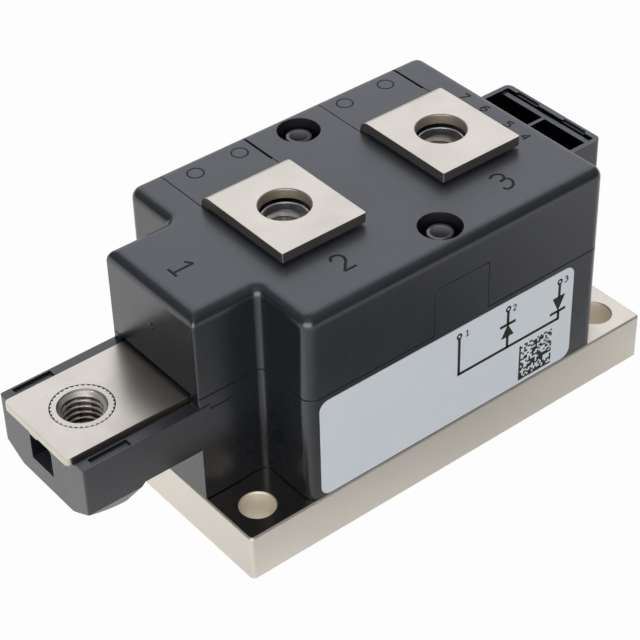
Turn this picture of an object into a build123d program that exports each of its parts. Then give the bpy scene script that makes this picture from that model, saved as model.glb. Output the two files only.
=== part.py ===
from build123d import *
import os
from math import cos, pi, radians, sin, tan

# A diode module in a 50 mm wide power block case: a thick copper baseplate, a moulded frame
# and lid, three busbar terminals with M8 nuts, and two diode chips on ceramic substrates.
# Millimetres. X runs along the length with terminal 1 at -X and the connector at +X,
# Y runs from the rating label (-Y) to the back, and Z is up from the underside of the baseplate.

# Baseplate
base_length = 92.0
base_width = 50.0
base_thickness = 9.7
base_corner_radius = 0.8
base_edge_chamfer = 0.3
fixing_spacing_x = 80.0
fixing_spacing_y = 38.0
fixing_radius = 3.1
fixing_chamfer = 0.25

# Moulded housing, seen from above: a wide body with a narrow neck at each end
middle_x = 0.5
body_length = 66.6
body_inset = 0.2
body_width = base_width - 2 * body_inset
body_corner_radius = 2.2
neck_width = 24.6
neck_left_end = -45.9
neck_right_end = 45.65
neck_corner_radius = 0.5
notch_radius = 1.2
wall = 2.2
seam_height = 31.8
lid_top = 48.9
lid_roof = 2.5
lid_edge_radius = 2.2
joint_line = 0.25
fit_gap = 0.15

# Latch tabs that rise from the frame into the lid, on the middle of the long sides
tab_width = 12.1
tab_top = 41.6
tab_corner_radius = 0.6

# Arm that carries terminal 1
arm_end = -68.7
arm_proud = 0.15
arm_width = neck_width + 2 * arm_proud
arm_bottom = 21.1
arm_top = 30.0
arm_edge_radius = 0.4
arm_cheek_end = -38.55
arm_cheek_top = 29.0
chin_bottom = 17.8
chin_side_height = 20.4
chin_side_taper = 1.3
chin_flat_end = -60.8
chin_inset = 1.35
chin_radius = arm_width / 2 - chin_inset
chin_flare = 1.45
bar_side_gap = 0.6
rim_pocket_start = -66.6
rim_pocket_length = 7.5
rim_pocket_width = 1.6
rim_pocket_depth = 0.5
nut_room = 0.5
nut_floor_room = 0.4
screw_relief_floor = 1.5
screw_relief_wall = 1.8
window_width = 6.4
window_centre = 0.8
window_bottom = 21.7

# Gate connector, moulded on the right end of the lid
connector_top = 43.2
connector_wall = 1.05
connector_outer_wall = 1.1
connector_slot = 0.5
connector_inner_wall = 1.15
connector_ledge = 0.5
connector_floor = 34.2
connector_divider = 0.75
connector_corner_radius = 1.3
connector_step_length = 1.0
connector_step_depth = 0.4
key_width = 5.6
key_offset = 6.1
key_depth = 0.4

# Terminal 1, a strip that leaves the left end over the arm
strip_end = -69.8
strip_width = 18.8
strip_thickness = 1.5
strip_top = 31.0
strip_x = -60.5
strip_corner = 0.9
strip_drop_x = -40.2
strip_inner_width = 12.0
strip_foot_start = 4.0
strip_foot_length = 4.0

# Terminals 2 and 3, bars that come up through the lid and are bent over their nuts
bar_x = 17.5
bar_width = 17.8
bar_front = 10.7
bar_back = 11.6
bar_thickness = 1.9
bar_top = 51.4
bar_bend_radius = 2.2
bar_corner = 0.3
bar_hole_radius = 4.55
bar_hole_chamfer = 0.2
bar_2_foot_length = 7.3
bar_3_foot_length = 16.4

# M8 nuts: two hexagon nuts loose in the lid, one knurled press nut in terminal 1
thread_radius = 3.4
thread_mouth_radius = 4.2
nut_across_flats = 13.0
nut_height = 6.5
nut_gap = 0.2
nut_chamfer_angle = 30.0
screw_relief_radius = 4.35
press_nut_collar_radius = 6.6
press_nut_length = 8.0
knurl_tip_radius = 5.5
knurl_depth = 0.3
knurl_teeth = 36
knurl_gap = 0.02

# Inserts that close the lid behind terminals 2 and 3
insert_width = 18.0
insert_drop = 9.0
insert_groove = 0.3
insert_groove_start = 15.0

# Lid: hexagon nut bosses and the two driver board posts in round recesses
nut_boss_width = 17.0
nut_boss_bottom = 37.0
screw_relief_bottom = 39.0
post_y = 19.0
recess_radius = 3.96
recess_depth = 7.0
recess_wall = 1.2
post_radius = 2.3
post_bore_radius = 1.75
post_drop = 1.2
gate_mark_radius = 0.6
gate_mark_height = 0.2
gate_mark_z = 40.0

# Rating label on the front of the frame
label_length = 58.1
label_height = 20.8
label_left = -30.7
label_bottom = 10.1
label_thickness = 0.12
label_corner_radius = 2.0

# Substrates, chips and gel inside
substrate_gap = 7.0
substrate_room = 0.1
substrate_width = 40.0
substrate_margin = 1.0
copper_foil = 0.3
ceramic_thickness = 0.63
chip_size = 15.0
chip_thickness = 0.4
chip_y = -2.0
contact_size = 11.5
contact_thickness = 1.5
gel_top = 24.0

# Smallest radius kept on an inner corner, and the distance within which two places are one
least_radius = 0.3
same_place = 0.01


def ring_tool(profile, from_z, to_z):
    """Extrude a flat profile drawn at z = 0 between two heights."""
    return Pos(0, 0, from_z) * extrude(profile, to_z - from_z)


def block(x_range, y_range, z_range):
    """A plain block from its three ranges."""
    size = [high - low for low, high in (x_range, y_range, z_range)]
    middle = [(high + low) / 2 for low, high in (x_range, y_range, z_range)]
    return Pos(*middle) * Box(*size)


def vertical_edges(shape, x_range, y_range):
    """The upright edges of a shape whose centres lie in a plan rectangle."""
    picked = []
    for edge in shape.edges().filter_by(Axis.Z):
        centre = edge.center()
        inside_x = x_range[0] - same_place <= centre.X <= x_range[1] + same_place
        inside_y = y_range[0] - same_place <= centre.Y <= y_range[1] + same_place
        if inside_x and inside_y:
            picked.append(edge)
    return picked


def body_right():
    """Right end of the wide body."""
    return middle_x + body_length / 2


def housing_outline(inset=0.0, right_end=neck_right_end):
    """Plan of the housing: body and necks, with rounded corners, moved inwards by an inset."""
    body = Pos(middle_x, 0) * Rectangle(body_length - 2 * inset, body_width - 2 * inset)
    neck_length = right_end - neck_left_end - 2 * inset
    neck = Pos((right_end + neck_left_end) / 2, 0) * Rectangle(neck_length, neck_width - 2 * inset)
    outline = body + neck
    body_corners = []
    notch_corners = []
    neck_corners = []
    for corner in outline.vertices():
        on_body_end = abs(abs(corner.X - middle_x) - (body_length / 2 - inset)) < same_place
        on_body_side = abs(abs(corner.Y) - (body_width / 2 - inset)) < same_place
        if on_body_end and on_body_side:
            body_corners.append(corner)
        elif on_body_end:
            notch_corners.append(corner)
        else:
            neck_corners.append(corner)
    outline = fillet(body_corners, max(body_corner_radius - inset, least_radius))
    outline = fillet(matching(outline, notch_corners), notch_radius + inset)
    return fillet(matching(outline, neck_corners), max(neck_corner_radius - inset, least_radius))


def inner_outline():
    """Plan of the space inside the walls, with plain corners."""
    body = Pos(middle_x, 0) * Rectangle(body_length - 2 * wall, body_width - 2 * wall)
    neck_length = neck_right_end - neck_left_end - 2 * wall
    neck_middle = (neck_right_end + neck_left_end) / 2
    return body + Pos(neck_middle, 0) * Rectangle(neck_length, neck_width - 2 * wall)


def matching(shape, corners):
    """The vertices of a shape that stand where the given corners stood."""
    found = []
    for vertex in shape.vertices():
        if any((Vector(vertex) - Vector(corner)).length < same_place for corner in corners):
            found.append(vertex)
    return found


def make_base_plate():
    """Thick nickel-plated copper plate with four fixing holes."""
    plate = Pos(0, 0, base_thickness / 2) * Box(base_length, base_width, base_thickness)
    plate = fillet(plate.edges().filter_by(Axis.Z), base_corner_radius)
    rims = plate.faces().sort_by(Axis.Z)[-1].edges() + plate.faces().sort_by(Axis.Z)[0].edges()
    plate = chamfer(rims, base_edge_chamfer)
    for place in GridLocations(fixing_spacing_x, fixing_spacing_y, 2, 2):
        plate -= place * hole_cutter(fixing_radius, fixing_chamfer, 0, base_thickness)
    return plate


def hole_cutter(radius, mouth_chamfer, bottom, top):
    """Cutter for a round hole with a small chamfer at its upper mouth."""
    points = [
        (0, bottom),
        (radius, bottom),
        (radius, top - mouth_chamfer),
        (radius + mouth_chamfer, top),
        (0, top),
    ]
    return revolve(Plane.XZ * Polygon(*points, align=None), Axis.Z)


def tab_face(gap=0.0):
    """Front view of a latch tab, widened by a gap, standing on the seam."""
    width = tab_width + 2 * gap
    height = tab_top + gap - seam_height
    face = Pos(middle_x, seam_height + height / 2) * Rectangle(width, height)
    top_corners = face.vertices().sort_by(Axis.Y)[-2:]
    return fillet(top_corners, tab_corner_radius)


def tabs(gap=0.0):
    """The two latch tabs, in the planes of the long walls."""
    front = extrude(Plane.XZ * tab_face(gap), body_width / 2) - extrude(
        Plane.XZ * tab_face(gap), body_width / 2 - wall
    )
    return front + mirror(front, Plane.XZ)


def arm_body():
    """Solid of the arm: a flat beam whose outer end swells down to a chin."""
    beam = block((arm_end, neck_left_end + wall), (-arm_width / 2, arm_width / 2), (arm_bottom, arm_top))
    return beam + chin()


def chin():
    """Lower swelling under terminal 1, tapered at the sides and ramped at the back."""
    half = arm_width / 2
    side_view = Polygon(
        (arm_end, arm_bottom),
        (arm_end, chin_bottom),
        (chin_flat_end, chin_bottom),
        (chin_flat_end + arm_bottom - chin_bottom, arm_bottom),
        align=None,
    )
    end_view = Polygon(
        (-half, arm_bottom),
        (-half, chin_side_height),
        (-half + chin_side_taper, chin_bottom),
        (half - chin_side_taper, chin_bottom),
        (half, chin_side_height),
        (half, arm_bottom),
        align=None,
    )
    long_prism = extrude(Plane.XZ * side_view, arm_width / 2, both=True)
    cross_prism = extrude(Plane.YZ * end_view, 2 * arm_end, both=True)
    height = arm_bottom - chin_bottom
    top_radius = chin_radius + chin_flare * height
    flare = Pos(strip_x, 0, (arm_bottom + chin_bottom) / 2) * Cone(chin_radius, top_radius, height)
    boss_circle = Pos(strip_x, 0) * Circle(screw_relief_radius + screw_relief_wall)
    return (long_prism & cross_prism & flare) + ring_tool(boss_circle, chin_bottom, arm_bottom)


def arm_cheeks():
    """Slightly proud sides where the arm runs back over the left neck."""
    return block(
        (neck_left_end, arm_cheek_end),
        (-arm_width / 2, arm_width / 2),
        (base_thickness + joint_line, arm_cheek_top),
    )


def arm_cuts():
    """Channel for the strip, round nut pocket, end window and rim pockets of the arm."""
    channel_half = strip_width / 2 + bar_side_gap
    strip_bottom = strip_top - strip_thickness
    channel = block(
        (arm_end, neck_left_end + wall), (-channel_half, channel_half), (strip_bottom, seam_height)
    )
    pocket_bottom = strip_top - press_nut_length - nut_floor_room
    relief_bottom = chin_bottom + screw_relief_floor
    pocket_circle = Pos(strip_x, 0) * Circle(press_nut_collar_radius + nut_room)
    relief_circle = Pos(strip_x, 0) * Circle(screw_relief_radius)
    pocket = ring_tool(pocket_circle, pocket_bottom, strip_bottom)
    pocket += ring_tool(relief_circle, relief_bottom, strip_bottom)
    window = block(
        (arm_end, strip_x),
        (window_centre - window_width / 2, window_centre + window_width / 2),
        (window_bottom, strip_bottom),
    )
    rim_middle = (channel_half + arm_width / 2) / 2
    rim_pocket = block(
        (rim_pocket_start, rim_pocket_start + rim_pocket_length),
        (rim_middle - rim_pocket_width / 2, rim_middle + rim_pocket_width / 2),
        (arm_top - rim_pocket_depth, arm_top),
    )
    return channel + pocket + window + rim_pocket + mirror(rim_pocket, Plane.XZ)


def make_housing_frame():
    """Lower moulding: a wall round the inside, the arm on the left and a latch tab on each side."""
    foot = ring_tool(housing_outline(joint_line), base_thickness, base_thickness + joint_line)
    frame = foot + ring_tool(housing_outline(), base_thickness + joint_line, seam_height)
    frame += arm_cheeks() + arm_body()
    frame -= ring_tool(inner_outline(), base_thickness, seam_height)
    frame -= arm_cuts()
    end_edges = vertical_edges(frame, (arm_end, arm_end), (-arm_width / 2, arm_width / 2))
    outer = [edge for edge in end_edges if abs(abs(edge.center().Y) - arm_width / 2) < same_place]
    frame = fillet(outer, arm_edge_radius)
    return frame + tabs()


def lid_shell():
    """Lid with rounded top edges, hollow from below, and the low connector block at the right."""
    outer = ring_tool(housing_outline(0.0, body_right()), seam_height + joint_line, lid_top)
    top_edges = outer.faces().sort_by(Axis.Z)[-1].edges()
    outer = fillet(top_edges, lid_edge_radius)
    outer += ring_tool(housing_outline(joint_line), seam_height, seam_height + joint_line)
    outer += connector_block()
    inner_half_x = body_length / 2 - wall
    inner_half_y = body_width / 2 - wall
    roof_bottom = lid_top - lid_roof
    cavity = block(
        (middle_x - inner_half_x, middle_x + inner_half_x),
        (-inner_half_y, inner_half_y),
        (seam_height, roof_bottom),
    )
    neck_half = neck_width / 2 - wall
    cavity += block((neck_left_end + wall, 0), (-neck_half, neck_half), (seam_height, roof_bottom))
    return outer - cavity


def connector_block():
    """Outer block of the gate connector, with rounded outer corners."""
    half = neck_width / 2
    solid = block(
        (body_right() - wall, neck_right_end),
        (-half, half),
        (seam_height + joint_line, connector_top),
    )
    corners = vertical_edges(solid, (neck_right_end, neck_right_end), (-half, half))
    return fillet(corners, connector_corner_radius)


def connector_cuts():
    """Two deep pockets, the narrow slot along the outer wall and the two keyways in its rim."""
    pocket_left = body_right()
    slot_right = neck_right_end - connector_outer_wall
    slot_left = slot_right - connector_slot
    pocket_right = slot_left - connector_inner_wall
    pocket_half = neck_width / 2 - connector_wall
    divider_half = connector_divider / 2
    back_pocket = block(
        (pocket_left, pocket_right), (divider_half, pocket_half), (connector_floor, connector_top)
    )
    back_pocket -= block(
        (pocket_left, pocket_left + connector_step_length),
        (pocket_half - connector_step_depth, pocket_half),
        (connector_floor, connector_top),
    )
    ledge = block(
        (pocket_left + connector_step_length, slot_right),
        (-pocket_half, pocket_half),
        (connector_top - connector_ledge, connector_top),
    )
    slot = block((slot_left, slot_right), (-pocket_half, pocket_half), (connector_floor, connector_top))
    cuts = back_pocket + mirror(back_pocket, Plane.XZ) + ledge + slot
    for side in (-1, 1):
        keyway = block(
            (slot_right, (slot_right + neck_right_end) / 2),
            (side * key_offset - key_width / 2, side * key_offset + key_width / 2),
            (connector_top - key_depth, connector_top),
        )
        cuts += keyway
    return cuts


def nut_boss(x):
    """Boss under the lid's roof that holds a hexagon nut."""
    half = nut_boss_width / 2
    return block((x - half, x + half), (-half, half), (nut_boss_bottom, lid_top - lid_roof))


def nut_pocket(x):
    """Hexagon pocket for the nut, and a round relief below it for the end of the screw."""
    hexagon = RegularPolygon(nut_across_flats / 2 + nut_gap, 6, major_radius=False)
    pocket = ring_tool(Pos(x, 0) * hexagon, lid_top - nut_height, lid_top)
    relief = ring_tool(Pos(x, 0) * Circle(screw_relief_radius), screw_relief_bottom, lid_top)
    return pocket + relief


def insert_opening(x):
    """Corner opening in the lid behind a bar, from the bar to the back wall."""
    half = insert_width / 2 + fit_gap
    return block((x - half, x + half), (bar_back, body_width / 2), (lid_top - insert_drop, lid_top))


def bar_slot(x):
    """Opening in the roof for the bar's upright leg."""
    half = bar_width / 2 + fit_gap
    leg_front = bar_back - bar_thickness - fit_gap
    return block((x - half, x + half), (leg_front, bar_back + fit_gap), (lid_top - lid_roof, lid_top))


def post_recess(y):
    """Round recess with a hollow post left standing in it."""
    ring = Circle(recess_radius) - Circle(post_radius)
    recess = ring_tool(Pos(middle_x, y) * ring, lid_top - recess_depth, lid_top)
    top = ring_tool(Pos(middle_x, y) * Circle(post_radius), lid_top - post_drop, lid_top)
    bore = ring_tool(Pos(middle_x, y) * Circle(post_bore_radius), lid_top - recess_depth, lid_top)
    return recess + top + bore


def post_boss(side):
    """Material round a recess, below the roof, from the long wall inwards."""
    half = recess_radius + recess_wall
    wall_side = side * (body_width / 2 - wall)
    inner_side = side * (post_y - half)
    return block(
        (middle_x - half, middle_x + half),
        (min(wall_side, inner_side), max(wall_side, inner_side)),
        (lid_top - recess_depth - recess_wall, lid_top - lid_roof),
    )


def make_housing_lid():
    """Upper moulding with the nut pockets, the bar slots, the post recesses and the connector."""
    lid = lid_shell()
    for x in (-bar_x, bar_x):
        lid += nut_boss(x)
    for side in (-1, 1):
        lid += post_boss(side)
    for x in (-bar_x, bar_x):
        lid -= nut_pocket(x)
        lid -= insert_opening(x)
        lid -= bar_slot(x)
    for y in (-post_y, post_y):
        lid -= post_recess(y)
    lid -= connector_cuts()
    lid -= tabs(fit_gap)
    mark = Plane.YZ.offset(neck_left_end) * Pos(0, gate_mark_z) * Circle(gate_mark_radius)
    return lid + extrude(mark, -gate_mark_height)


def make_insert(x):
    """Corner piece that closes the lid behind a bar, with two ribs and a groove at its right."""
    half = insert_width / 2
    front = bar_back + fit_gap
    back = body_width / 2
    bottom = lid_top - insert_drop
    piece = block((x - half, x + half), (front, back), (bottom, lid_top))
    top_back = piece.edges().filter_by(Axis.X).group_by(Axis.Z)[-1].sort_by(Axis.Y)[-1]
    piece = fillet(top_back, lid_edge_radius)
    piece -= block(
        (x - half + wall, x + half - wall), (front, back - wall), (bottom, lid_top - lid_roof)
    )
    groove = block((x + half - insert_groove, x + half), (insert_groove_start, back), (bottom, lid_top))
    return piece - groove


def ribbon(points, thickness, bend_radius):
    """Flat outline of a strip bent along a path of points, with its own bend radius at the middle."""
    path = [Vector(*point) for point in points]
    sides = []
    for side in (1, -1):
        rail = []
        radii = []
        for before, corner, after in zip([None] + path[:-1], path, path[1:] + [None]):
            into = (corner - before).normalized() if before is not None else (after - corner).normalized()
            out = (after - corner).normalized() if after is not None else into
            turn = into.cross(out).Z
            across = Vector(-into.Y - out.Y, into.X + out.X) * (1 / (1 + into.dot(out)))
            rail.append(corner + across * (side * thickness / 2))
            if before is not None and after is not None:
                radii.append(bend_radius - side * (1 if turn > 0 else -1) * thickness / 2)
        sides.append(FilletPolyline(*rail, radius=radii))
    left, right = sides
    return make_face(left + Line(left @ 1, right @ 1) + right + Line(left @ 0, right @ 0))


def bent_bar(x, foot_bottom, foot_direction, foot_length):
    """Terminal bar: a foot on the chip side, an upright leg, and a plate bent over the nut."""
    mid_leg = bar_back - bar_thickness / 2
    top_mid = bar_top - bar_thickness / 2
    foot_mid = foot_bottom + bar_thickness / 2
    route = [
        (-bar_front, top_mid),
        (mid_leg, top_mid),
        (mid_leg, foot_mid),
        (mid_leg + foot_direction * foot_length, foot_mid),
    ]
    side_view = ribbon(route, bar_thickness, bar_bend_radius - bar_thickness / 2)
    bar = Pos(x, 0, 0) * extrude(Plane.YZ * side_view, bar_width / 2, both=True)
    corners = []
    for edge in bar.edges().filter_by(Axis.Z):
        centre = edge.center()
        if centre.Z > lid_top and abs(centre.Y + bar_front) < same_place:
            corners.append(edge)
    bar = fillet(corners, bar_corner)
    hole = hole_cutter(bar_hole_radius, bar_hole_chamfer, bar_top - bar_thickness, bar_top)
    return bar - Pos(x, 0) * hole


def make_terminal_strip():
    """Terminal 1: a wide strip over the arm that drops inside and feeds both diodes."""
    top_mid = strip_top - strip_thickness / 2
    run_mid = contact_top() + strip_thickness / 2
    foot_mid = copper_top() + strip_thickness / 2
    route = [
        (strip_end, top_mid),
        (strip_drop_x, top_mid),
        (strip_drop_x, run_mid),
        (strip_foot_start - 2 * strip_thickness, run_mid),
        (strip_foot_start, foot_mid),
        (strip_foot_start + strip_foot_length, foot_mid),
    ]
    side_view = ribbon(route, strip_thickness, strip_thickness)
    strip = extrude(Plane.XZ * side_view, strip_width / 2, both=True)
    corners = vertical_edges(strip, (strip_end, strip_end), (-strip_width / 2, strip_width / 2))
    strip = fillet(corners, strip_corner)
    for side in (-1, 1):
        near = side * strip_inner_width / 2
        far = side * strip_width
        low, high = min(near, far), max(near, far)
        inner_start = strip_drop_x - 2 * strip_thickness
        strip -= block((inner_start, body_length), (low, high), (0, seam_height - joint_line - wall))
    return strip - Pos(strip_x, 0, top_mid) * Cylinder(knurl_tip_radius, 2 * strip_thickness)


def make_press_nut():
    """Knurled nut pressed into terminal 1 from below, flush with its top."""
    tip = knurl_tip_radius - knurl_gap
    valley = tip - knurl_depth
    points = []
    for tooth in range(2 * knurl_teeth):
        radius = tip if tooth % 2 == 0 else valley
        angle = pi * tooth / knurl_teeth
        points.append((radius * cos(angle), radius * sin(angle)))
    strip_bottom = strip_top - strip_thickness
    knurl = ring_tool(Polygon(*points, align=None), strip_bottom, strip_top)
    collar = ring_tool(Circle(press_nut_collar_radius), strip_top - press_nut_length, strip_bottom)
    nut = knurl + collar - threaded_bore(strip_top, press_nut_length)
    return Pos(strip_x, 0, 0) * nut


def threaded_bore(top, length):
    """Cutter for an M8 bore at its minor diameter, with a countersunk mouth at the top."""
    flare = thread_mouth_radius - thread_radius
    points = [
        (0, top - length),
        (thread_radius, top - length),
        (thread_radius, top - flare),
        (thread_mouth_radius, top),
        (0, top),
    ]
    return revolve(Plane.XZ * Polygon(*points, align=None), Axis.Z)


def make_hexagon_nut(x):
    """M8 hexagon nut with its upper corners chamfered, loose under a bar."""
    bottom = lid_top - nut_height
    hexagon = RegularPolygon(nut_across_flats / 2, 6, major_radius=False)
    body = ring_tool(hexagon, bottom, lid_top)
    corner_radius = nut_across_flats / 2 / cos(radians(30))
    drop = (corner_radius - nut_across_flats / 2) * tan(radians(nut_chamfer_angle))
    points = [
        (0, bottom),
        (2 * corner_radius, bottom),
        (2 * corner_radius, lid_top - drop),
        (corner_radius, lid_top - drop),
        (nut_across_flats / 2, lid_top),
        (0, lid_top),
    ]
    rounded = revolve(Plane.XZ * Polygon(*points, align=None), Axis.Z)
    nut = (body & rounded) - threaded_bore(lid_top, nut_height)
    return Pos(x, 0, 0) * nut


def make_label():
    """Thin rating label on the front wall of the frame."""
    face = RectangleRounded(label_length, label_height, label_corner_radius)
    middle_z = label_bottom + label_height / 2
    plane = Plane.XZ.offset(body_width / 2)
    return extrude(plane * Pos(label_left + label_length / 2, middle_z) * face, label_thickness)


def ceramic_bottom():
    """Underside of the ceramic plates, on top of their lower copper."""
    return base_thickness + copper_foil


def copper_top():
    """Top of the upper copper on the ceramic plates."""
    return ceramic_bottom() + ceramic_thickness + copper_foil


def contact_top():
    """Top of the contact plates on the chips."""
    return copper_top() + chip_thickness + contact_thickness


def substrate_layer(side, margin, bottom, thickness):
    """One layer of a substrate, smaller than the ceramic by a margin."""
    ceramic_length = body_length / 2 - middle_x - wall - substrate_room - substrate_gap / 2
    middle = side * (substrate_gap + ceramic_length) / 2
    length = ceramic_length - 2 * margin
    width = substrate_width - 2 * margin
    return Pos(middle, 0, bottom + thickness / 2) * Box(length, width, thickness)


def make_chip(x):
    """Square diode chip."""
    return Pos(x, chip_y, copper_top() + chip_thickness / 2) * Box(chip_size, chip_size, chip_thickness)


def make_contact(x):
    """Square contact plate on a chip."""
    middle = copper_top() + chip_thickness + contact_thickness / 2
    return Pos(x, chip_y, middle) * Box(contact_size, contact_size, contact_thickness)


def make_gel(held):
    """Soft gel that covers the chips, cut round everything that stands in it."""
    gel = ring_tool(inner_outline(), base_thickness, gel_top)
    for piece in held:
        gel -= piece
    return gel


def build():
    """All pieces by node name."""
    parts = {
        "base_plate": make_base_plate(),
        "housing_frame": make_housing_frame(),
        "housing_lid": make_housing_lid(),
        "terminal_1_strip": make_terminal_strip(),
        "terminal_1_nut": make_press_nut(),
        "terminal_2_bar": bent_bar(-bar_x, copper_top(), 1, bar_2_foot_length),
        "terminal_3_bar": bent_bar(bar_x, contact_top(), -1, bar_3_foot_length),
        "rating_label": make_label(),
    }
    for number, side in ((2, -1), (3, 1)):
        parts[f"lower_copper_{number}"] = substrate_layer(
            side, substrate_margin, base_thickness, copper_foil
        )
        parts[f"ceramic_plate_{number}"] = substrate_layer(side, 0, ceramic_bottom(), ceramic_thickness)
        parts[f"upper_copper_{number}"] = substrate_layer(
            side, substrate_margin, ceramic_bottom() + ceramic_thickness, copper_foil
        )
        parts[f"diode_chip_{number}"] = make_chip(side * bar_x)
        parts[f"contact_plate_{number}"] = make_contact(side * bar_x)
    outside = ("base_plate", "housing_frame", "housing_lid", "rating_label", "terminal_1_nut")
    held = [shape for name, shape in parts.items() if name not in outside]
    parts["silicone_gel"] = make_gel(held)
    for number, side in ((2, -1), (3, 1)):
        parts[f"terminal_{number}_nut"] = make_hexagon_nut(side * bar_x)
        parts[f"terminal_{number}_insert"] = make_insert(side * bar_x)
    return parts


os.makedirs("parts", exist_ok=True)
for name, shape in build().items():
    export_step(shape, f"parts/{name}.step")
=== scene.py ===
import random
from math import cos, pi, radians, sin, tan

import bmesh
import bpy
from mathutils import Matrix, Vector


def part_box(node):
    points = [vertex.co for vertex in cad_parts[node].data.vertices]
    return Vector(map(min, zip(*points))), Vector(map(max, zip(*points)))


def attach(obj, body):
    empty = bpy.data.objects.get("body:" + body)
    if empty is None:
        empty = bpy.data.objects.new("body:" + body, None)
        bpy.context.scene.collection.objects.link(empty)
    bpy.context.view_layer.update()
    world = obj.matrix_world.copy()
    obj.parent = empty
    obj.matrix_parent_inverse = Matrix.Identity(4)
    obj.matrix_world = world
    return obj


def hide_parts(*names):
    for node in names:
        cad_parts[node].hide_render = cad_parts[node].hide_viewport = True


# A diode module on a white studio floor. Sizes are in millimetres in the frame of the solids:
# X runs along the length, -Y is the side with the label, and Z is up from the baseplate's underside.
MM = 0.001

# Camera: place, turns in degrees, width of the sensor, focal length, and shift in widths of the frame
camera_place = (-182.436, -220.597, 248.323)
camera_azimuth = -38.107
camera_elevation = 38.845
camera_roll = -1.517
camera_sensor = 36
camera_lens = 113.488
camera_shift = (-0.00875, -0.00205)

# Lamps: direction from the object, distance and size in metres, power in watts and colour
lamps = {
    "key": ((0.48, 0.62, 0.66), 0.9, (1.3, 1.0), 4.16, (0.97, 1.0, 1.08)),
    "fill": ((-0.72, -0.66, 0.22), 1.0, (1.3, 0.7), 9.6, (1, 1, 1)),
    "high": ((-0.39, -0.5, 0.78), 0.9, (0.8, 0.8), 0.4, (1, 1, 1)),
}
surround_level = 0.2

# Floor: half its width in metres, its gap under the object and its colour
floor_half = 4.0
floor_gap = 0.02
floor_colour = (0.85, 0.85, 0.85, 1)

# The floor shines white to the camera. To reflections it carries a painted shadow, dark at a spot before
# the object and rising to pale away from it, and painted light along the front edge.
floor_white_share = 0.97
floor_mirror_share = 0.55
floor_painted_shadow_centre = (12.0, -62.0, 0.0)
floor_mirror_range = (10.0, 95.0)
floor_mirror_levels = (0.0, 1.14)
floor_front_range = (-44.0, -31.0)
floor_front_painted_light = 0.4

# Threads: radii, pitch, rows of points in a pitch, and shares of a pitch in the root and both flanks
thread_minor_radius = 3.4
thread_major_radius = 4.0
thread_pitch = 1.25
thread_rows = 10
thread_root_share = 0.18
thread_flanks_share = 0.57
# Faces beyond this radius, deep in terminal 1's thread, get the grooves' painted shade
thread_groove_radius = 3.66

# Mouths of the threads: a cone in terminal 1's nut, and a rim over a plain wall in the others.
# The rim's faces with a painted highlight start a little below the top.
thread_mouth_radius = 4.3
thread_mouth_angle = 45.0
thread_mouth_depth = 0.85
plain_mouth_radius = 4.2
plain_mouth_depth = 1.6
plain_mouth_rim = 0.14
plain_mouth_ledge = 0.05
rim_start = 0.01

# Terminal 1's nut, pressed in from below: a collar and a knurled neck
press_collar_radius = 6.6
press_collar_drop = 1.5
press_collar_edge = 0.3
knurl_radius = 5.46
knurl_depth = 0.3
knurl_teeth = 36
knurl_samples = 6
knurl_sharpness = 0.6
knurl_edge = 0.1
knurl_edge_inset = 0.08
knurl_face_inset = 0.16

# Hexagon nuts
nut_flats = 13.0
nut_chamfer_angle = 30.0
nut_rim_width = 0.12
nut_foot_edge = 0.2
nut_columns = 120

# Gap that keeps a nut's shoulder off the faces of the solids, and the angle in degrees from which
# an edge isn't shaded smooth
nut_gap = 0.02
smooth_angle = 32

# Holes and posts tinted apart, with painted light on the walls of the fixing holes, on the recess walls
# and in the posts' bores: place of the axis, radii and width of the tint's edge
fixing_hole_place = (40.0, 19.0)
fixing_hole_radius = 3.25
bar_hole_place = (17.5, 0.0)
bar_hole_radius = 5.1
post_place = (0.5, 19.0)
post_bore_radius = 1.8
post_radius = 2.45
recess_radius = 4.0
mask_edge = 0.05

# Range of a noise over which a tint or a roughness goes from its first value to its second
cloud_range = (0.3, 0.7)

# How far a face looks up, from 0 on a wall to 1 on top: ranges over which a finish changes, or the
# moulding goes from painted shade on walls to painted light on level faces
level_range = (0.5, 0.95)
satin_range = (0.7, 0.98)
wall_range = (0.3, 0.6)
side_range = (0.75, 0.95)

# Moulding: pairs of tints, painted shade on upright faces and painted light on level ones, painted light
# on the recess walls and in the posts' bores, and roughness with what level faces and the posts add to it
painted_shade_upright_tints = ((0.0018, 0.0032, 0.0065), (0.003, 0.0045, 0.0085))
painted_light_level_tints = ((0.022, 0.025, 0.034), (0.028, 0.032, 0.043))
# Recess walls lighter than the other walls: painted light
recess_wall_painted_light = (0.022, 0.022, 0.026)
post_tint = (0.006, 0.006, 0.007)
# Pale grey in the posts' bores: painted light
post_bore_painted_light = (0.27, 0.27, 0.28)
dust_tint = (0.12, 0.12, 0.12)
dust_range = (0.79, 0.83)
dust_share = 0.5
moulding_rough = (0.24, 0.32)
level_rough = 0.07
post_rough = 0.35
moulding_ior = 1.75
moulding_edge = 0.15

# Platings: two tints, roughness, width and height of the grain, and whether a bar's hole is tinted
platings = {
    "strip_plating": ((0.64, 0.59, 0.515), (0.59, 0.545, 0.475), (0.27, 0.35), 0.25, 0.004, True),
    "zinc_plating": ((0.50, 0.53, 0.55), (0.36, 0.40, 0.42), (0.22, 0.34), 0.2, 0.01, False),
    # Near-white rim at the nuts' mouths: painted highlight
    "painted_highlight_rim": ((0.93, 0.96, 1.0), (0.86, 0.90, 0.94), (0.2, 0.3), 0.2, 0.004, False),
    # Pale threads are painted light, their dark grooves painted shade
    "thread_steel": ((0.97, 0.92, 0.88), (0.90, 0.83, 0.78), (0.32, 0.42), 0.2, 0.01, False),
    "thread_groove_painted_shade": ((0.20, 0.16, 0.14), (0.14, 0.11, 0.10), (0.4, 0.5), 0.2, 0.01, False),
    "press_plating": ((0.61, 0.57, 0.51), (0.56, 0.525, 0.47), (0.27, 0.35), 0.2, 0.006, False),
}
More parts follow.
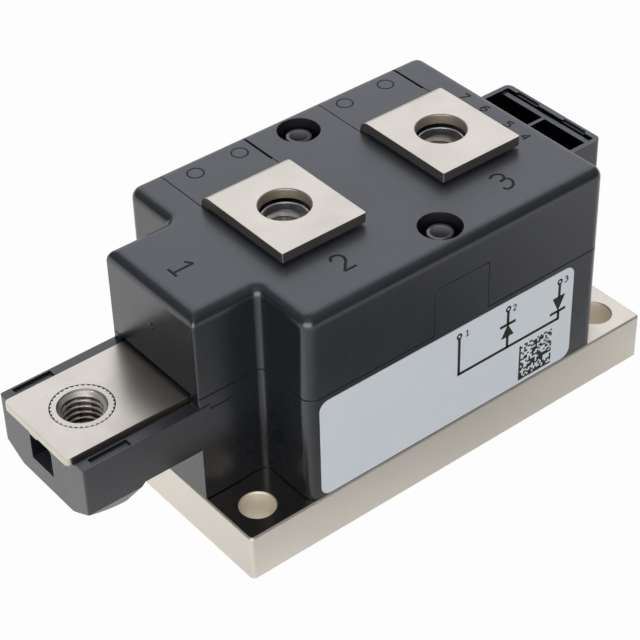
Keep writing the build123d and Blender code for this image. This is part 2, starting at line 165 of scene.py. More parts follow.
stain_range = (0.74, 0.8)
stain_share = 0.35
stain_darkness = 0.55
plating_edge = 0.12
bar_hole_tint = (0.60, 0.52, 0.42)
bar_hole_rough = 0.25

# Baseplate: tints, painted light on the walls of its fixing holes, and roughness with what its sides and
# its holes add to it
base_tints = ((0.64, 0.585, 0.51), (0.59, 0.54, 0.47))
base_side_tint = (0.755, 0.71, 0.64)
fixing_hole_painted_light = (0.95, 0.89, 0.79)
base_rough = (0.18, 0.26)
base_side_rough = 0.26
fixing_hole_rough = 0.15
base_edge = 0.2
sawn_stretch = (1.0, 1.0, 0.12)

# Label
label_tints = ((0.625, 0.665, 0.71), (0.68, 0.715, 0.75))
label_rough = (0.42, 0.55)
label_edge = 0.1

# Plain finishes: two tints, width of the clouds, roughness, metallic and specular level
plain_finishes = {
    "ink": ((0.02, 0.02, 0.018), (0.032, 0.032, 0.028), 0.4, (0.55, 0.7), 0.0, 0.15),
    # Moulded numbers and pin marks are the moulding's own plastic: their dark tint and low gloss are
    # painted shade
    "painted_shade_mark": ((0.008, 0.008, 0.011), (0.015, 0.015, 0.019), 0.5, (0.5, 0.65), 0.0, 0.25),
    "foil": ((0.72, 0.42, 0.27), (0.62, 0.33, 0.2), 3.0, (0.22, 0.35), 1.0, 0.5),
    "ceramic": ((0.86, 0.85, 0.82), (0.8, 0.79, 0.76), 2.0, (0.5, 0.65), 0.0, 0.5),
    "silicon": ((0.20, 0.21, 0.24), (0.26, 0.27, 0.30), 4.0, (0.12, 0.2), 0.0, 0.5),
    "contact": ((0.60, 0.60, 0.61), (0.52, 0.52, 0.54), 2.0, (0.25, 0.4), 1.0, 0.5),
    "gel": ((0.82, 0.81, 0.74), (0.74, 0.72, 0.64), 5.0, (0.08, 0.16), 0.0, 0.5),
}
plain_grain_share = 0.125
plain_grain_height = 0.01
gel_transmission = 0.85
gel_ior = 1.41

# Each figure's strokes in a box one wide and one high: True for a smooth stroke, then its points
figures = {
    "1": [(False, [(0.05, 0.79), (0.56, 1.0), (0.57, 0.0)]), (False, [(0.0, 0.0), (1.0, 0.0)])],
    "2": [
        (True, [
            (0.0, 0.78), (0.2, 0.97), (0.55, 1.0), (0.88, 0.82), (0.86, 0.58), (0.5, 0.3), (0.05, 0.0),
        ]),
        (False, [(0.05, 0.0), (1.0, 0.0)]),
    ],
    "3": [
        (True, [
            (0.0, 0.92), (0.38, 1.0), (0.68, 0.97), (0.91, 0.83), (0.85, 0.65), (0.62, 0.54), (0.32, 0.53),
        ]),
        (True, [
            (0.32, 0.53), (0.78, 0.56), (1.0, 0.43), (0.86, 0.15), (0.46, 0.0), (0.09, 0.02), (0.0, 0.18),
        ]),
    ],
    "4": [(False, [(0.75, 0.0), (0.75, 1.0), (0.0, 0.3), (1.0, 0.3)])],
    "5": [
        (False, [(0.9, 1.0), (0.15, 1.0), (0.08, 0.58)]),
        (True, [(0.08, 0.58), (0.5, 0.66), (0.92, 0.45), (0.85, 0.12), (0.45, 0.0), (0.02, 0.1)]),
    ],
    "6": [
        (True, [(0.85, 0.95), (0.4, 0.95), (0.08, 0.6), (0.06, 0.25), (0.4, 0.0), (0.85, 0.12)]),
        (True, [(0.85, 0.12), (0.95, 0.4), (0.6, 0.58), (0.25, 0.5), (0.07, 0.3)]),
    ],
    "7": [(False, [(0.0, 1.0), (1.0, 1.0), (0.3, 0.0)])],
}

# Large numbers in the lid: foot of the figure, directions of its width and height, and its size
large_numbers = {
    "1": ((-41.07, 0.94), (0, -1, 0), (1, 0, 0), (2.43, 4.1)),
    "2": ((-19.6, -18.2), (1, 0, 0), (0, 1, 0), (2.6, 4.3)),
    "3": ((15.97, -18.54), (1, 0, 0), (0, 1, 0), (2.62, 4.6)),
}
large_stroke = 0.52

# Small numbers beside the connector, with their tops towards +X: middle of the figure
small_numbers = {"7": (30.3, 7.9), "6": (30.35, 2.5), "5": (30.05, -4.0), "4": (29.6, -8.85)}
small_number_size = (1.3, 1.8)
small_stroke = 0.38
stroke_flatness = 0.18

# Marks of ejector pins behind each bar, drawn as dark rings: painted shade of their shallow grooves
pin_mark_centres = {2: ((-21.4, 20.2), (-11.8, 20.2)), 3: ((12.35, 20.45), (22.05, 20.45))}
pin_mark_radius = 1.48
pin_mark_stroke = 0.32

# Circuit on the label, in X and Z: its columns, the lowest and highest ends of its lines, the rings
# at its terminals and its numbers
circuit_columns = (0.05, 11.5, 23.95)
circuit_heights = (20.4, 28.2)
circuit_ring_heights = (28.9, 29.0, 28.7)
circuit_ring_radius = 0.46
circuit_numbers = {"1": (1.5, 28.2), "2": (12.65, 28.0), "3": (25.15, 28.0)}

# Its diodes, the first pointing up and the second down: heights between which the column's line
# stops, then the ends of the bar and the corners of the triangle, with X from the column
diode_gaps = ((22.8, 25.6), (22.15, 25.4))
diode_bars = (((-1.55, 25.6), (1.55, 25.6)), ((-1.75, 22.15), (1.45, 22.15)))
diode_triangles = (
    ((-1.55, 22.8), (1.5, 22.8), (0.0, 25.6)),
    ((-1.6, 25.5), (-0.1, 22.2), (1.5, 25.5)),
)

# Strokes of the print on the label
print_height = 0.01
print_stroke = 0.62
print_ring_stroke = 0.4
print_number_stroke = 0.25
print_number_size = (0.75, 1.2)
print_flatness = 0.06

# Block of random cells on the label: lower left corner, side, cells along a side and share filled
block_corner = (14.65, 10.85)
block_side = 8.0
block_cells = 20
block_share = 0.5
block_seed = 7

# Nib on the end of the strip: its middle from the strip's end, in Y and from its top, and its size
nib_inset = 0.26
nib_place = 0.8
nib_drop = 1.72
nib_size = (2.2, 0.5, 0.5)
nib_edge = 0.12


# Objects, and the nodes of the frame


def mesh_object(name, mesh):
    """Link a mesh as a new object."""
    piece = bpy.data.objects.new(name, mesh)
    bpy.context.scene.collection.objects.link(piece)
    return piece


def centre_of(node):
    """Middle of a node's box in millimetres."""
    low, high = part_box(node)
    return (Vector(low) + Vector(high)) / 2 / MM


def top_of(node):
    """Height of a node's top in millimetres."""
    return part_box(node)[1][2] / MM


def bottom_of(node):
    """Height of a node's underside in millimetres."""
    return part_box(node)[0][2] / MM


# Shader nodes


def new_material(name):
    """A material with its shader, a node adder and a connector to the shader.

    add(kind, inputs, settings) returns the node, and connect(output, socket) links it.
    """
    material = bpy.data.materials.new(name)
    material.use_nodes = True
    tree = material.node_tree
    shader = tree.nodes["Principled BSDF"]

    def add(kind, inputs=None, **settings):
        node = tree.nodes.new(kind)
        for key, value in settings.items():
            setattr(node, key, value)
        for socket, value in (inputs or {}).items():
            if isinstance(value, bpy.types.NodeSocket):
                tree.links.new(value, node.inputs[socket])
            else:
                node.inputs[socket].default_value = value
        return node

    def connect(output, socket):
        tree.links.new(output, shader.inputs[socket])

    return material, shader, add, connect


def object_place(add):
    """Place on the object."""
    return add("ShaderNodeTexCoord").outputs["Object"]


def facing_up(add):
    """How far a face looks up: 1 on top and 0 on a wall."""
    normal = add("ShaderNodeNewGeometry").outputs["Normal"]
    return add("ShaderNodeSeparateXYZ", {0: normal}).outputs["Z"]


def noise(add, where, size, detail=4.0, roughness=0.6, distortion=0.0):
    """Noise whose features are about so many millimetres wide."""
    values = {
        "Vector": where,
        "Scale": 1 / (size * MM),
        "Detail": detail,
        "Roughness": roughness,
        "Distortion": distortion,
    }
    return add("ShaderNodeTexNoise", values).outputs["Fac"]


def remap(add, value, from_range, to_range):
    """Map a value from one range to another, clamped."""
    values = {
        "Value": value,
        "From Min": from_range[0],
        "From Max": from_range[1],
        "To Min": to_range[0],
        "To Max": to_range[1],
    }
    return add("ShaderNodeMapRange", values).outputs["Result"]


def maths(add, operation, first, second):
    """One step of arithmetic."""
    return add("ShaderNodeMath", {0: first, 1: second}, operation=operation).outputs["Value"]


def blend_colours(add, factor, first, second):
    """Mix two colours by a factor."""
    node = add("ShaderNodeMix", data_type="RGBA")
    for socket, value in ((0, factor), (6, first), (7, second)):
        if isinstance(value, bpy.types.NodeSocket):
            node.id_data.links.new(value, node.inputs[socket])
        else:
            node.inputs[socket].default_value = (*value, 1.0)
    return node.outputs[2]


def bump(add, height, strength, distance, under=None):
    """Bump from a height, in millimetres, on top of another normal."""
    values = {"Height": height, "Strength": strength, "Distance": distance * MM}
    if under is not None:
        values["Normal"] = under
    return add("ShaderNodeBump", values).outputs["Normal"]


def soft_edges(add, radius):
    """Normal that rounds the edges by a radius in millimetres."""
    return add("ShaderNodeBevel", {"Radius": radius * MM}, samples=4).outputs["Normal"]


def near_axis(add, where, axis, radius):
    """Mask of what lies within a radius of an upright axis, or of its mirror images in X and Y."""
    corner = add("ShaderNodeVectorMath", {0: where}, operation="ABSOLUTE").outputs["Vector"]
    level = add("ShaderNodeVectorMath", {0: corner, 1: (1, 1, 0)}, operation="MULTIPLY").outputs["Vector"]
    centre = Vector((*axis, 0)) * MM
    apart = add("ShaderNodeVectorMath", {0: level, 1: centre}, operation="DISTANCE").outputs["Value"]
    return remap(add, apart, (radius * MM, (radius + mask_edge) * MM), (1.0, 0.0))


# Materials


def moulding():
    """Dark grey glass-filled plastic: a faint grain, flow marks and a little dust, with painted shade on
    walls, painted light on level faces, and painted light on the recess walls and in the posts' bores.
    """
    material, shader, add, connect = new_material("moulding")
    where = object_place(add)
    flow = noise(add, where, size=14.0, detail=3.0, roughness=0.55, distortion=0.6)
    facing = facing_up(add)
    # Walls take a darker tint as painted shade, level faces a lighter one as painted light
    upright = blend_colours(add, flow, *painted_shade_upright_tints)
    level = blend_colours(add, flow, *painted_light_level_tints)
    tint = blend_colours(add, remap(add, facing, level_range, (0.0, 1.0)), upright, level)
    # Recess walls get painted light
    recess = near_axis(add, where, post_place, recess_radius)
    recess_wall = maths(add, "MULTIPLY", recess, remap(add, facing, wall_range, (1.0, 0.0)))
    tint = blend_colours(add, recess_wall, tint, recess_wall_painted_light)
    post = near_axis(add, where, post_place, post_radius)
    tint = blend_colours(add, post, tint, post_tint)
    # The posts' bores get painted light
    bore = near_axis(add, where, post_place, post_bore_radius)
    tint = blend_colours(add, bore, tint, post_bore_painted_light)
    dust = noise(add, where, size=0.5, detail=1.0, roughness=0.4)
    specks = remap(add, dust, dust_range, (0.0, dust_share))
    connect(blend_colours(add, specks, tint, dust_tint), "Base Color")
    satin = remap(add, facing, satin_range, (0.0, level_rough))
    rough = maths(add, "ADD", remap(add, flow, cloud_range, moulding_rough), satin)
    connect(maths(add, "ADD", rough, maths(add, "MULTIPLY", post, post_rough)), "Roughness")
    shader.inputs["IOR"].default_value = moulding_ior
    waves = noise(add, where, size=9.0, detail=2.0, roughness=0.5)
    grain = noise(add, where, size=0.35, detail=3.0)
    rounded = soft_edges(add, moulding_edge)
    waved = bump(add, waves, strength=0.25, distance=0.05, under=rounded)
    connect(bump(add, grain, strength=0.35, distance=0.012, under=waved), "Normal")
    return material


def plating(name, light, dark, rough, grain_size, grain_height, bored):
    """Nickel plating: a soft cloudy tint, fine grain and a few small stains."""
    material, shader, add, connect = new_material(name)
    where = object_place(add)
    cloud = noise(add, where, size=9.0, distortion=0.4)
    grain = noise(add, where, grain_size, roughness=0.65)
    stains = noise(add, where, size=1.6, detail=2.0, roughness=0.5)
    tint = blend_colours(add, remap(add, cloud, cloud_range, (0.0, 1.0)), light, dark)
    stain = tuple(stain_darkness * part for part in dark)
    tint = blend_colours(add, remap(add, stains, stain_range, (0.0, stain_share)), tint, stain)
    roughness = remap(add, cloud, cloud_range, rough)
    if bored:
        upright = remap(add, facing_up(add), wall_range, (1.0, 0.0))
        hole = near_axis(add, where, bar_hole_place, bar_hole_radius)
        wall = maths(add, "MULTIPLY", hole, upright)
        tint = blend_colours(add, wall, tint, bar_hole_tint)
        roughness = maths(add, "ADD", roughness, maths(add, "MULTIPLY", wall, bar_hole_rough))
    connect(tint, "Base Color")
    connect(roughness, "Roughness")
    shader.inputs["Metallic"].default_value = 1.0
    rounded = soft_edges(add, plating_edge)
    connect(bump(add, grain, strength=0.5, distance=grain_height, under=rounded), "Normal")
    return material


def base_plating():
    """Plating of the baseplate: smooth on top, faintly sawn along its sides, with painted light on the
    walls of its fixing holes.
    """
    material, shader, add, connect = new_material("base_plating")
    where = object_place(add)
    cloud = noise(add, where, size=12.0, distortion=0.4)
    tint = blend_colours(add, remap(add, cloud, cloud_range, (0.0, 1.0)), *base_tints)
    side = remap(add, facing_up(add), side_range, (1.0, 0.0))
    tint = blend_colours(add, side, tint, base_side_tint)
    # Walls of the fixing holes made paler: painted light
    wall = near_axis(add, where, fixing_hole_place, fixing_hole_radius)
    connect(blend_colours(add, wall, tint, fixing_hole_painted_light), "Base Color")
    rough = remap(add, cloud, cloud_range, base_rough)
    rough = maths(add, "ADD", rough, maths(add, "MULTIPLY", side, base_side_rough))
    connect(maths(add, "ADD", rough, maths(add, "MULTIPLY", wall, fixing_hole_rough)), "Roughness")
    shader.inputs["Metallic"].default_value = 1.0
    stretched = add("ShaderNodeMapping", {"Vector": where, "Scale": sawn_stretch}).outputs["Vector"]
    sawn = maths(add, "MULTIPLY", noise(add, stretched, size=0.5, detail=3.0), side)
    mottle = noise(add, where, size=0.9, detail=3.0)
    ribs = bump(add, sawn, strength=0.5, distance=0.02, under=soft_edges(add, base_edge))
    connect(bump(add, mottle, strength=0.25, distance=0.012, under=ribs), "Normal")
    return material


def label_film():
    """Matt printed film, bluish grey."""
    material, _, add, connect = new_material("label_film")
    where = object_place(add)
    cloud = noise(add, where, size=6.0, detail=3.0)
    fibre = noise(add, where, size=0.12, detail=3.0, roughness=0.7)
    connect(blend_colours(add, cloud, *label_tints), "Base Color")
    connect(remap(add, fibre, cloud_range, label_rough), "Roughness")
    rounded = soft_edges(add, label_edge)
    connect(bump(add, fibre, strength=0.3, distance=0.008, under=rounded), "Normal")
    return material


def plain_finish(name, first, second, size, rough, metallic, gloss):
    """Two-tone cloudy finish with a fine grain, for inner pieces, print, and marks dark with painted
    shade.
    """
    material, shader, add, connect = new_material(name)
    where = object_place(add)
    cloud = noise(add, where, size)
    grain = noise(add, where, size * plain_grain_share, detail=3.0)
    connect(blend_colours(add, cloud, first, second), "Base Color")
    connect(remap(add, cloud, cloud_range, rough), "Roughness")
    shader.inputs["Metallic"].default_value = metallic
    shader.inputs["Specular IOR Level"].default_value = gloss
    connect(bump(add, grain, strength=0.4, distance=plain_grain_height), "Normal")
    return material


def make_clear(material):
    """Let light through a material."""
    shader = material.node_tree.nodes["Principled BSDF"]
    shader.inputs["Transmission Weight"].default_value = gel_transmission
    shader.inputs["IOR"].default_value = gel_ior


def dress(names, material):
    """Give CAD nodes or pieces one material."""
    for name in names:
        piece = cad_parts.get(name) or bpy.data.objects[name]
        piece.data.materials.clear()
        piece.data.materials.append(material)


def dress_bore(nut, bore_metals, thread_start, grooved):
    """Painted highlight on a rim at a nut's mouth, painted light on the threads from a depth on and, if
    asked, painted shade in their grooves.
    """
    for material in bore_metals:
        nut.data.materials.append(material)
    top = max(corner.co.z for corner in nut.data.vertices) / MM
    middle = centre_of(nut.name.replace("threaded_", ""))
    for face in nut.data.polygons:
        place = face.center / MM
        radius = (place - middle).xy.length
        depth = top - place.z
        if radius < plain_mouth_radius and rim_start < depth < plain_mouth_rim:
            face.material_index = 1
        elif radius < thread_major_radius and depth > thread_start:
            in_groove = radius > thread_groove_radius and depth > thread_mouth_depth
            face.material_index = 3 if grooved and in_groove else 2


# Nuts, made of rows round the Z axis. A row is a function of the angle that gives (radius, height).


def ring_mesh(name, rows, columns):
    """Closed mesh round the Z axis, from one row to the next and back to the first."""
    mesh = bpy.data.meshes.new(name)
    shape = bmesh.new()
    loops = []
    for row in rows:
        loop = []
        for column in range(columns):
            angle = 2 * pi * column / columns
            radius, height = row(angle)
            loop.append(shape.verts.new((radius * cos(angle) * MM, radius * sin(angle) * MM, height * MM)))
        loops.append(loop)
    for lower, upper in zip(loops, loops[1:] + loops[:1]):
        for column in range(columns):
            following = (column + 1) % columns
            corners = (lower[column], lower[following], upper[following], upper[column])
            shape.faces.new(corners)
    bmesh.ops.recalc_face_normals(shape, faces=shape.faces)
    shape.to_mesh(mesh)
    shape.free()
    for face in mesh.polygons:
        face.use_smooth = True
    mesh.set_sharp_from_angle(angle=radians(smooth_angle))
    return mesh_object(name, mesh)


def flat_row(radius, height):
    """A plain circular row."""
    return lambda angle: (radius, height)


def knurl_row(inset, height):
    """A row with rounded teeth, for a knurled rim."""

    def row(angle):
        wave = 0.5 + 0.5 * cos(knurl_teeth * angle)
        return knurl_radius - inset - knurl_depth * (1 - wave ** knurl_sharpness), height

    return row


def thread_radius(height, angle):
    """Radius of an internal thread at a height and an angle: flat crests and roots, sloped flanks."""
    turn = (height / thread_pitch - angle / (2 * pi)) % 1.0
    from_root = abs(2 * turn - 1)
    slope = min(max((from_root - thread_root_share) / thread_flanks_share, 0.0), 1.0)
    return thread_major_radius + (thread_minor_radius - thread_major_radius) * slope


def thread_heights(top, bottom):
    """Heights of the rows down a thread."""
    count = round((top - bottom) / thread_pitch * thread_rows)
    return [top - (top - bottom) * step / count for step in range(count + 1)]


def coned_mouth_rows(top, bottom):
    """Rows down a threaded bore with a cone at its mouth that cuts into the first turns."""

    def row_at(height):
        cone = thread_mouth_radius - (top - height) / tan(radians(thread_mouth_angle))
        return lambda angle: (max(thread_radius(height, angle), cone), height)

    rows = [row_at(height) for height in thread_heights(top, bottom)]
    rows[0] = flat_row(thread_mouth_radius, top)
    return rows


def plain_mouth_rows(top, bottom):
    """Rows down a bore that starts with a fine rim and a plain wall, with the thread below."""

    def row_at(height):
        return lambda angle: (thread_radius(height, angle), height)

    start = top - plain_mouth_depth
    rows = [
        flat_row(plain_mouth_radius, top),
        flat_row(plain_mouth_radius - plain_mouth_rim, top - plain_mouth_rim),
        flat_row(thread_major_radius, start + plain_mouth_ledge),
    ]
    return rows + [row_at(height) for height in thread_heights(start, bottom)]


def hexagon_radius(angle):
    """Distance from the axis to a hexagon's side, with flats across Y."""
    sixth = pi / 3
    within = (angle + pi / 2 + sixth / 2) % sixth - sixth / 2
    return nut_flats / 2 / cos(within)


def place_nut(name, rows, columns, node):
    """Place a nut on its node's axis and let it stand for the node."""
    nut = ring_mesh(name, rows, columns)
    middle = centre_of(node)
    nut.data.transform(Matrix.Translation((middle.x * MM, middle.y * MM, 0)))
    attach(nut, "root")
    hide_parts(node)
    return nut


def press_nut():
    """Round knurled nut of terminal 1 with its thread."""
    node = "terminal_1_nut"
    top = top_of(node)
    bottom = bottom_of(node)
    shoulder = top - press_collar_drop - nut_gap
    rows = [
        flat_row(press_collar_radius - press_collar_edge, bottom),
        flat_row(press_collar_radius, bottom + press_collar_edge),
        flat_row(press_collar_radius, shoulder),
        knurl_row(0.0, shoulder),
        knurl_row(0.0, top - knurl_edge),
        knurl_row(knurl_edge_inset, top),
        flat_row(knurl_radius - knurl_depth - knurl_face_inset, top),
    ]
    rows += coned_mouth_rows(top, bottom)
    return place_nut("terminal_1_threaded_nut", rows, knurl_teeth * knurl_samples, node)


def hexagon_nut(number):
    """Hexagon nut under a bar, chamfered above, with its thread."""
    node = f"terminal_{number}_nut"
    top = top_of(node)
    bottom = bottom_of(node)
    fall = tan(radians(nut_chamfer_angle))
    flat = nut_flats / 2

    def foot(angle):
        return hexagon_radius(angle), bottom + nut_foot_edge

    def shoulder(angle):
        radius = hexagon_radius(angle)
        return radius, top - (radius - flat) * fall - nut_gap

    rows = [
        flat_row(flat - nut_foot_edge, bottom),
        foot,
        shoulder,
        flat_row(flat - nut_rim_width, top),
    ]
    rows += plain_mouth_rows(top, bottom)
    return place_nut(f"terminal_{number}_threaded_nut", rows, nut_columns, node)


# Drawn pieces. A stroke is (smooth, points, closed) on a drawing plane.


def plane_at(origin, right, up):
    """Matrix of a drawing plane in metres, from its origin in millimetres and two directions."""
    across = Vector(right)
    upward = Vector(up)
    outward = across.cross(upward)
    turn = Matrix((across, upward, outward)).transposed().to_4x4()
    return Matrix.Translation(Vector(origin) * MM) @ turn


def figure_strokes(figure, foot, size):
    """Strokes of a figure from its lower left corner."""
    strokes = []
    for smooth, points in figures[figure]:
        moved = [(foot[0] + u * size[0], foot[1] + v * size[1]) for u, v in points]
        strokes.append((smooth, moved, False))
    return strokes


def circle_stroke(centre, radius, points=12):
    """A closed round stroke."""
    turn = [2 * pi * step / points for step in range(points)]
    ring = [(centre[0] + radius * cos(angle), centre[1] + radius * sin(angle)) for angle in turn]
    return True, ring, True


def stroke_curve(name, strokes, width):
    """Curve with a spline for each smooth stroke and for each line of the others."""
    curve = bpy.data.curves.new(name, "CURVE")
    curve.dimensions = "3D"
    curve.bevel_depth = width / 2 * MM
    curve.bevel_resolution = 3
    curve.use_fill_caps = True
    curve.resolution_u = 6
    for smooth, points, closed in strokes:
        parts = [points] if smooth else zip(points, points[1:])
        for part in parts:
            spline = curve.splines.new("BEZIER")
            spline.bezier_points.add(len(part) - 1)
            for knot, (u, v) in zip(spline.bezier_points, part):
                knot.co = (u * MM, v * MM, 0)
                knot.handle_left_type = "AUTO" if smooth else "VECTOR"
                knot.handle_right_type = "AUTO" if smooth else "VECTOR"
            spline.use_cyclic_u = closed
    return curve


def stroke_piece(name, plane, strokes, width, flatness):
    """Flattened round strokes on a plane, as one mesh."""
    drawn = bpy.data.objects.new(name, stroke_curve(name, strokes, width))
    bpy.context.scene.collection.objects.link(drawn)
    bpy.context.view_layer.update()
    evaluated = drawn.evaluated_get(bpy.context.evaluated_depsgraph_get())
    mesh = bpy.data.meshes.new_from_object(evaluated)
    bpy.data.objects.remove(drawn)
    mesh.transform(plane @ Matrix.Diagonal((1, 1, flatness, 1)))
    mesh.name = name
    for face in mesh.polygons:
        face.use_smooth = True
    piece = mesh_object(name, mesh)
    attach(piece, "root")
    return piece


def lid_numbers():
    """Terminal numbers in the lid: 1, 2 and 3 beside the terminals and 7 to 4 beside the connector, raised
    strokes darkened with painted shade.
    """
    top = top_of("housing_lid")
    pieces = []
    for figure, (foot, right, up, size) in large_numbers.items():
        strokes = figure_strokes(figure, (0, 0), size)
        plane = plane_at((*foot, top), right, up)
        pieces.append(stroke_piece(f"number_{figure}", plane, strokes, large_stroke, stroke_flatness))
    width, height = small_number_size
    for figure, (x, y) in small_numbers.items():
        strokes = figure_strokes(figure, (0, 0), small_number_size)
        plane = plane_at((x - height / 2, y + width / 2, top), (0, -1, 0), (1, 0, 0))
        pieces.append(stroke_piece(f"number_{figure}", plane, strokes, small_stroke, stroke_flatness))
    return pieces


def pin_marks():
    """Fine rings left by ejector pins on the inserts, drawn as dark strokes: painted shade of their
    shallow grooves.
    """
    pieces = []
    plane = plane_at((0, 0, top_of("housing_lid")), (1, 0, 0), (0, 1, 0))
    for number, centres in pin_mark_centres.items():
        rings = [circle_stroke(centre, pin_mark_radius) for centre in centres]
        pieces.append(stroke_piece(f"pin_marks_{number}", plane, rings, pin_mark_stroke, stroke_flatness))
    return pieces


def label_plane():
    """Drawing plane on the front of the label, with X and Z as they are in the frame."""
    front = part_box("rating_label")[0][1] / MM
    return plane_at((0, front, 0), (1, 0, 0), (0, 0, 1))


def prism_piece(name, plane, outlines, thickness):
    """Thin flat prisms on a plane, as one mesh."""
    mesh = bpy.data.meshes.new(name)
    shape = bmesh.new()
    for outline in outlines:
        lower = [shape.verts.new((u * MM, v * MM, -thickness * MM)) for u, v in outline]
        upper = [shape.verts.new((u * MM, v * MM, thickness * MM)) for u, v in outline]
        shape.faces.new(upper)
        shape.faces.new(lower[::-1])
        for step in range(len(outline)):
            following = (step + 1) % len(outline)
            shape.faces.new((lower[step], lower[following], upper[following], upper[step]))
    shape.to_mesh(mesh)
    shape.free()
    mesh.transform(plane)
    piece = mesh_object(name, mesh)
    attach(piece, "root")
    return piece


def line_outline(start, end, width):
    """Outline of a straight line with square ends."""
    way = (Vector(end) - Vector(start)).normalized() * width / 2
    side = Vector((-way.y, way.x))
    first = Vector(start) - way
    last = Vector(end) + way
    return [first - side, last - side, last + side, first + side]


def circuit_print():
    """Circuit of two diodes with its three terminals on the label."""
    plane = label_plane()
    left, middle, right = circuit_columns
    low, high = circuit_heights
    lines = [((left, high), (left, low)), ((left, low), (right, low))]
    triangles = []
    for column, gap, bar, corners in zip((middle, right), diode_gaps, diode_bars, diode_triangles):
        lines += [((column, low), (column, gap[0])), ((column, gap[1]), (column, high))]
        lines.append([(column + u, v) for u, v in bar])
        triangles.append([(column + u, v) for u, v in corners])
    outlines = [line_outline(start, end, print_stroke) for start, end in lines]
    drawn = prism_piece("circuit_print", plane, outlines + triangles, print_height)
    centres = zip(circuit_columns, circuit_ring_heights)
    rings = [circle_stroke(centre, circuit_ring_radius) for centre in centres]
    ends = stroke_piece("circuit_ends", plane, rings, print_ring_stroke, print_flatness)
    strokes = []
    for figure, foot in circuit_numbers.items():
        strokes += figure_strokes(figure, foot, print_number_size)
    written = stroke_piece("circuit_numbers", plane, strokes, print_number_stroke, print_flatness)
    return [drawn, ends, written]


def cell_print():
    """Plain block of random square cells with a solid left and lower border."""
    left, bottom = block_corner
    cell = block_side / block_cells
    chance = random.Random(block_seed)
    outlines = []
    for row in range(block_cells):
        for column in range(block_cells):
            border = row == 0 or column == 0
            if border or chance.random() < block_share:
                u = left + column * cell
                v = bottom + row * cell
                outlines.append([(u, v), (u + cell, v), (u + cell, v + cell), (u, v + cell)])
    return prism_piece("cell_print", label_plane(), outlines, print_height)


def strip_nib():
    """Small nib left where the strip was parted, on the lower edge of its end."""
    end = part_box("terminal_1_strip")[0][0] / MM
    height = top_of("terminal_1_strip") - nib_drop
    plane = plane_at((end + nib_inset, nib_place, height), (0, 1, 0), (0, 0, 1))
    mesh = bpy.data.meshes.new("strip_nib")
    shape = bmesh.new()
    bmesh.ops.create_cube(shape, size=1.0)
    bmesh.ops.scale(shape, vec=Vector(nib_size) * MM, verts=shape.verts)
    bmesh.ops.bevel(shape, geom=shape.edges, offset=nib_edge * MM, segments=2, profile=0.5, affect="EDGES")
    shape.to_mesh(mesh)
    shape.free()
    mesh.transform(plane)
    nib = mesh_object("strip_nib", mesh)
    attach(nib, "root")
    return nib


# Studio


def make_camera():
    """Camera at the photograph's place and angle."""
    data = bpy.data.cameras.new("camera")
    data.lens = camera_lens
    data.sensor_width = camera_sensor
    data.shift_x, data.shift_y = camera_shift
    camera = bpy.data.objects.new("camera", data)
    bpy.context.scene.collection.objects.link(camera)
    turn = Matrix.Rotation(radians(camera_azimuth), 4, "Z")
    tilt = Matrix.Rotation(radians(90 - camera_elevation), 4, "X")
    roll = Matrix.Rotation(radians(camera_roll), 4, "Z")
    camera.matrix_world = Matrix.Translation(Vector(camera_place) * MM) @ turn @ tilt @ roll
    bpy.context.scene.camera = camera


def painted_mirror_level(add):
    """Brightness of the floor as reflections see it: a painted shadow before the object and painted light
    along its front edge.
    """
    where = object_place(add)
    spot = Vector(floor_painted_shadow_centre) * MM
    apart = add("ShaderNodeVectorMath", {0: where, 1: spot}, operation="DISTANCE").outputs["Value"]
    near, far = floor_mirror_range
    spread = remap(add, apart, (near * MM, far * MM), floor_mirror_levels)
    across = add("ShaderNodeSeparateXYZ", {0: where}).outputs["Y"]
    begin, end = floor_front_range
    front = remap(add, across, (begin * MM, end * MM), (0.0, floor_front_painted_light))
    return maths(add, "ADD", spread, front)


def make_floor():
    """Plain white floor that keeps the object's soft shadow, and shows reflections a painted shadow and
    painted light.
    """
    mesh = bpy.data.meshes.new("floor")
    half = floor_half
    below = -floor_gap * MM
    corners = [(-half, -half, below), (half, -half, below), (half, half, below), (-half, half, below)]
    mesh.from_pydata(corners, [], [(0, 1, 2, 3)])
    floor = mesh_object("floor", mesh)
    material, shader, add, _ = new_material("floor")
    path = add("ShaderNodeLightPath").outputs
    values = {"Factor": path["Is Camera Ray"], "A": painted_mirror_level(add), "B": 1.0}
    level = add("ShaderNodeMix", values).outputs["Result"]
    glossy = maths(add, "MULTIPLY", path["Is Glossy Ray"], floor_mirror_share)
    seen = maths(add, "MAXIMUM", path["Is Camera Ray"], glossy)
    share = maths(add, "MULTIPLY", seen, floor_white_share)
    paper = add("ShaderNodeBsdfDiffuse", {"Color": floor_colour}).outputs["BSDF"]
    white = add("ShaderNodeEmission", {"Strength": level}).outputs["Emission"]
    mixed = add("ShaderNodeMixShader", {0: share, 1: paper, 2: white}).outputs["Shader"]
    nodes = material.node_tree.nodes
    material.node_tree.links.new(mixed, nodes["Material Output"].inputs["Surface"])
    nodes.remove(shader)
    floor.data.materials.append(material)


def make_world():
    """Even pale surround: white to the camera and a soft fill for the object."""
    world = bpy.data.worlds.new("studio")
    bpy.context.scene.world = world
    world.use_nodes = True
    tree = world.node_tree
    background = tree.nodes["Background"]
    path = tree.nodes.new("ShaderNodeLightPath")
    level = tree.nodes.new("ShaderNodeMapRange")
    level.inputs["To Min"].default_value = surround_level
    level.inputs["To Max"].default_value = 1.0
    tree.links.new(path.outputs["Is Camera Ray"], level.inputs["Value"])
    tree.links.new(level.outputs["Result"], background.inputs["Strength"])
    background.inputs["Color"].default_value = (1, 1, 1, 1)


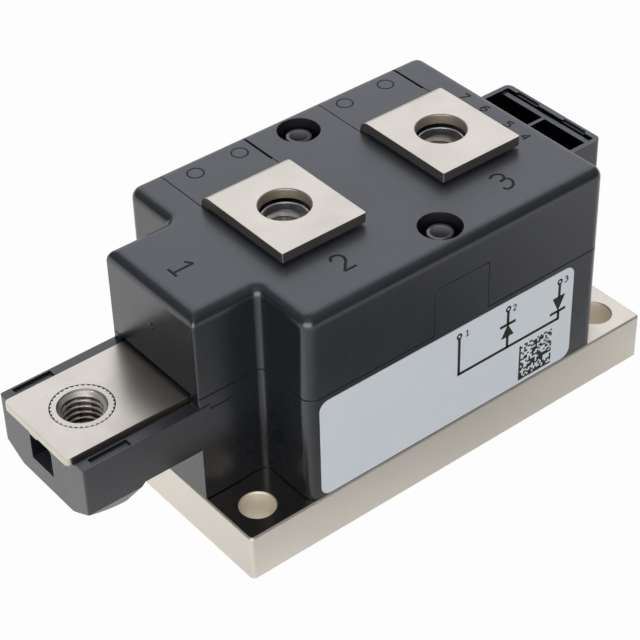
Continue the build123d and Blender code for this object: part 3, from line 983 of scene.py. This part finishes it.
def area_light(name, direction, distance, size, power, colour):
    """Soft rectangular lamp aimed at the object from a direction."""
    data = bpy.data.lights.new(name, "AREA")
    data.shape = "RECTANGLE"
    data.size, data.size_y = size
    data.energy = power
    data.color = colour
    lamp = bpy.data.objects.new(name, data)
    bpy.context.scene.collection.objects.link(lamp)
    way = Vector(direction).normalized()
    lamp.location = way * distance
    lamp.rotation_euler = way.to_track_quat("Z", "Y").to_euler()


def make_studio():
    """Camera, floor, surround and lamps."""
    make_camera()
    make_floor()
    make_world()
    for name, settings in lamps.items():
        area_light(name, *settings)
    bpy.context.scene.view_settings.view_transform = "Standard"


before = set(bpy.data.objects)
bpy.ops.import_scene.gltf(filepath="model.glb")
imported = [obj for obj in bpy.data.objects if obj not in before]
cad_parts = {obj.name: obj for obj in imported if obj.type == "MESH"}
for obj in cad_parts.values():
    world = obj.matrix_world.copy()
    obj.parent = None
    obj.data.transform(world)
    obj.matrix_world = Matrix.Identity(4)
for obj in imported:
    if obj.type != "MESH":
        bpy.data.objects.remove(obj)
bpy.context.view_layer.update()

nuts = [press_nut(), hexagon_nut(2), hexagon_nut(3)]
numbers = lid_numbers()
marks = pin_marks()
prints = circuit_print() + [cell_print()]
nib = strip_nib()

metals = {name: plating(name, *values) for name, values in platings.items()}
finishes = {name: plain_finish(name, *values) for name, values in plain_finishes.items()}
make_clear(finishes["gel"])

dress(["housing_frame", "housing_lid", "terminal_2_insert", "terminal_3_insert"], moulding())
dress(["base_plate"], base_plating())
dress(["terminal_1_strip", "terminal_2_bar", "terminal_3_bar", "strip_nib"], metals["strip_plating"])
dress(["terminal_1_nut", "terminal_1_threaded_nut"], metals["press_plating"])
for number in (2, 3):
    dress([f"terminal_{number}_nut", f"terminal_{number}_threaded_nut"], metals["zinc_plating"])
    dress([f"lower_copper_{number}", f"upper_copper_{number}"], finishes["foil"])
    dress([f"ceramic_plate_{number}"], finishes["ceramic"])
    dress([f"diode_chip_{number}"], finishes["silicon"])
    dress([f"contact_plate_{number}"], finishes["contact"])
dress(["silicone_gel"], finishes["gel"])
# Painted highlight on the nuts' rims, painted light on their threads and painted shade in terminal 1's
# grooves
bore_metals = [metals[name] for name in ("painted_highlight_rim", "thread_steel", "thread_groove_painted_shade")]
dress_bore(nuts[0], bore_metals, thread_start=0.0, grooved=True)
for nut in nuts[1:]:
    dress_bore(nut, bore_metals, thread_start=plain_mouth_depth, grooved=False)
dress(["rating_label"], label_film())
dress([piece.name for piece in prints], finishes["ink"])
# Numbers and pin marks take the painted shade
dress([piece.name for piece in numbers + marks], finishes["painted_shade_mark"])

make_studio()
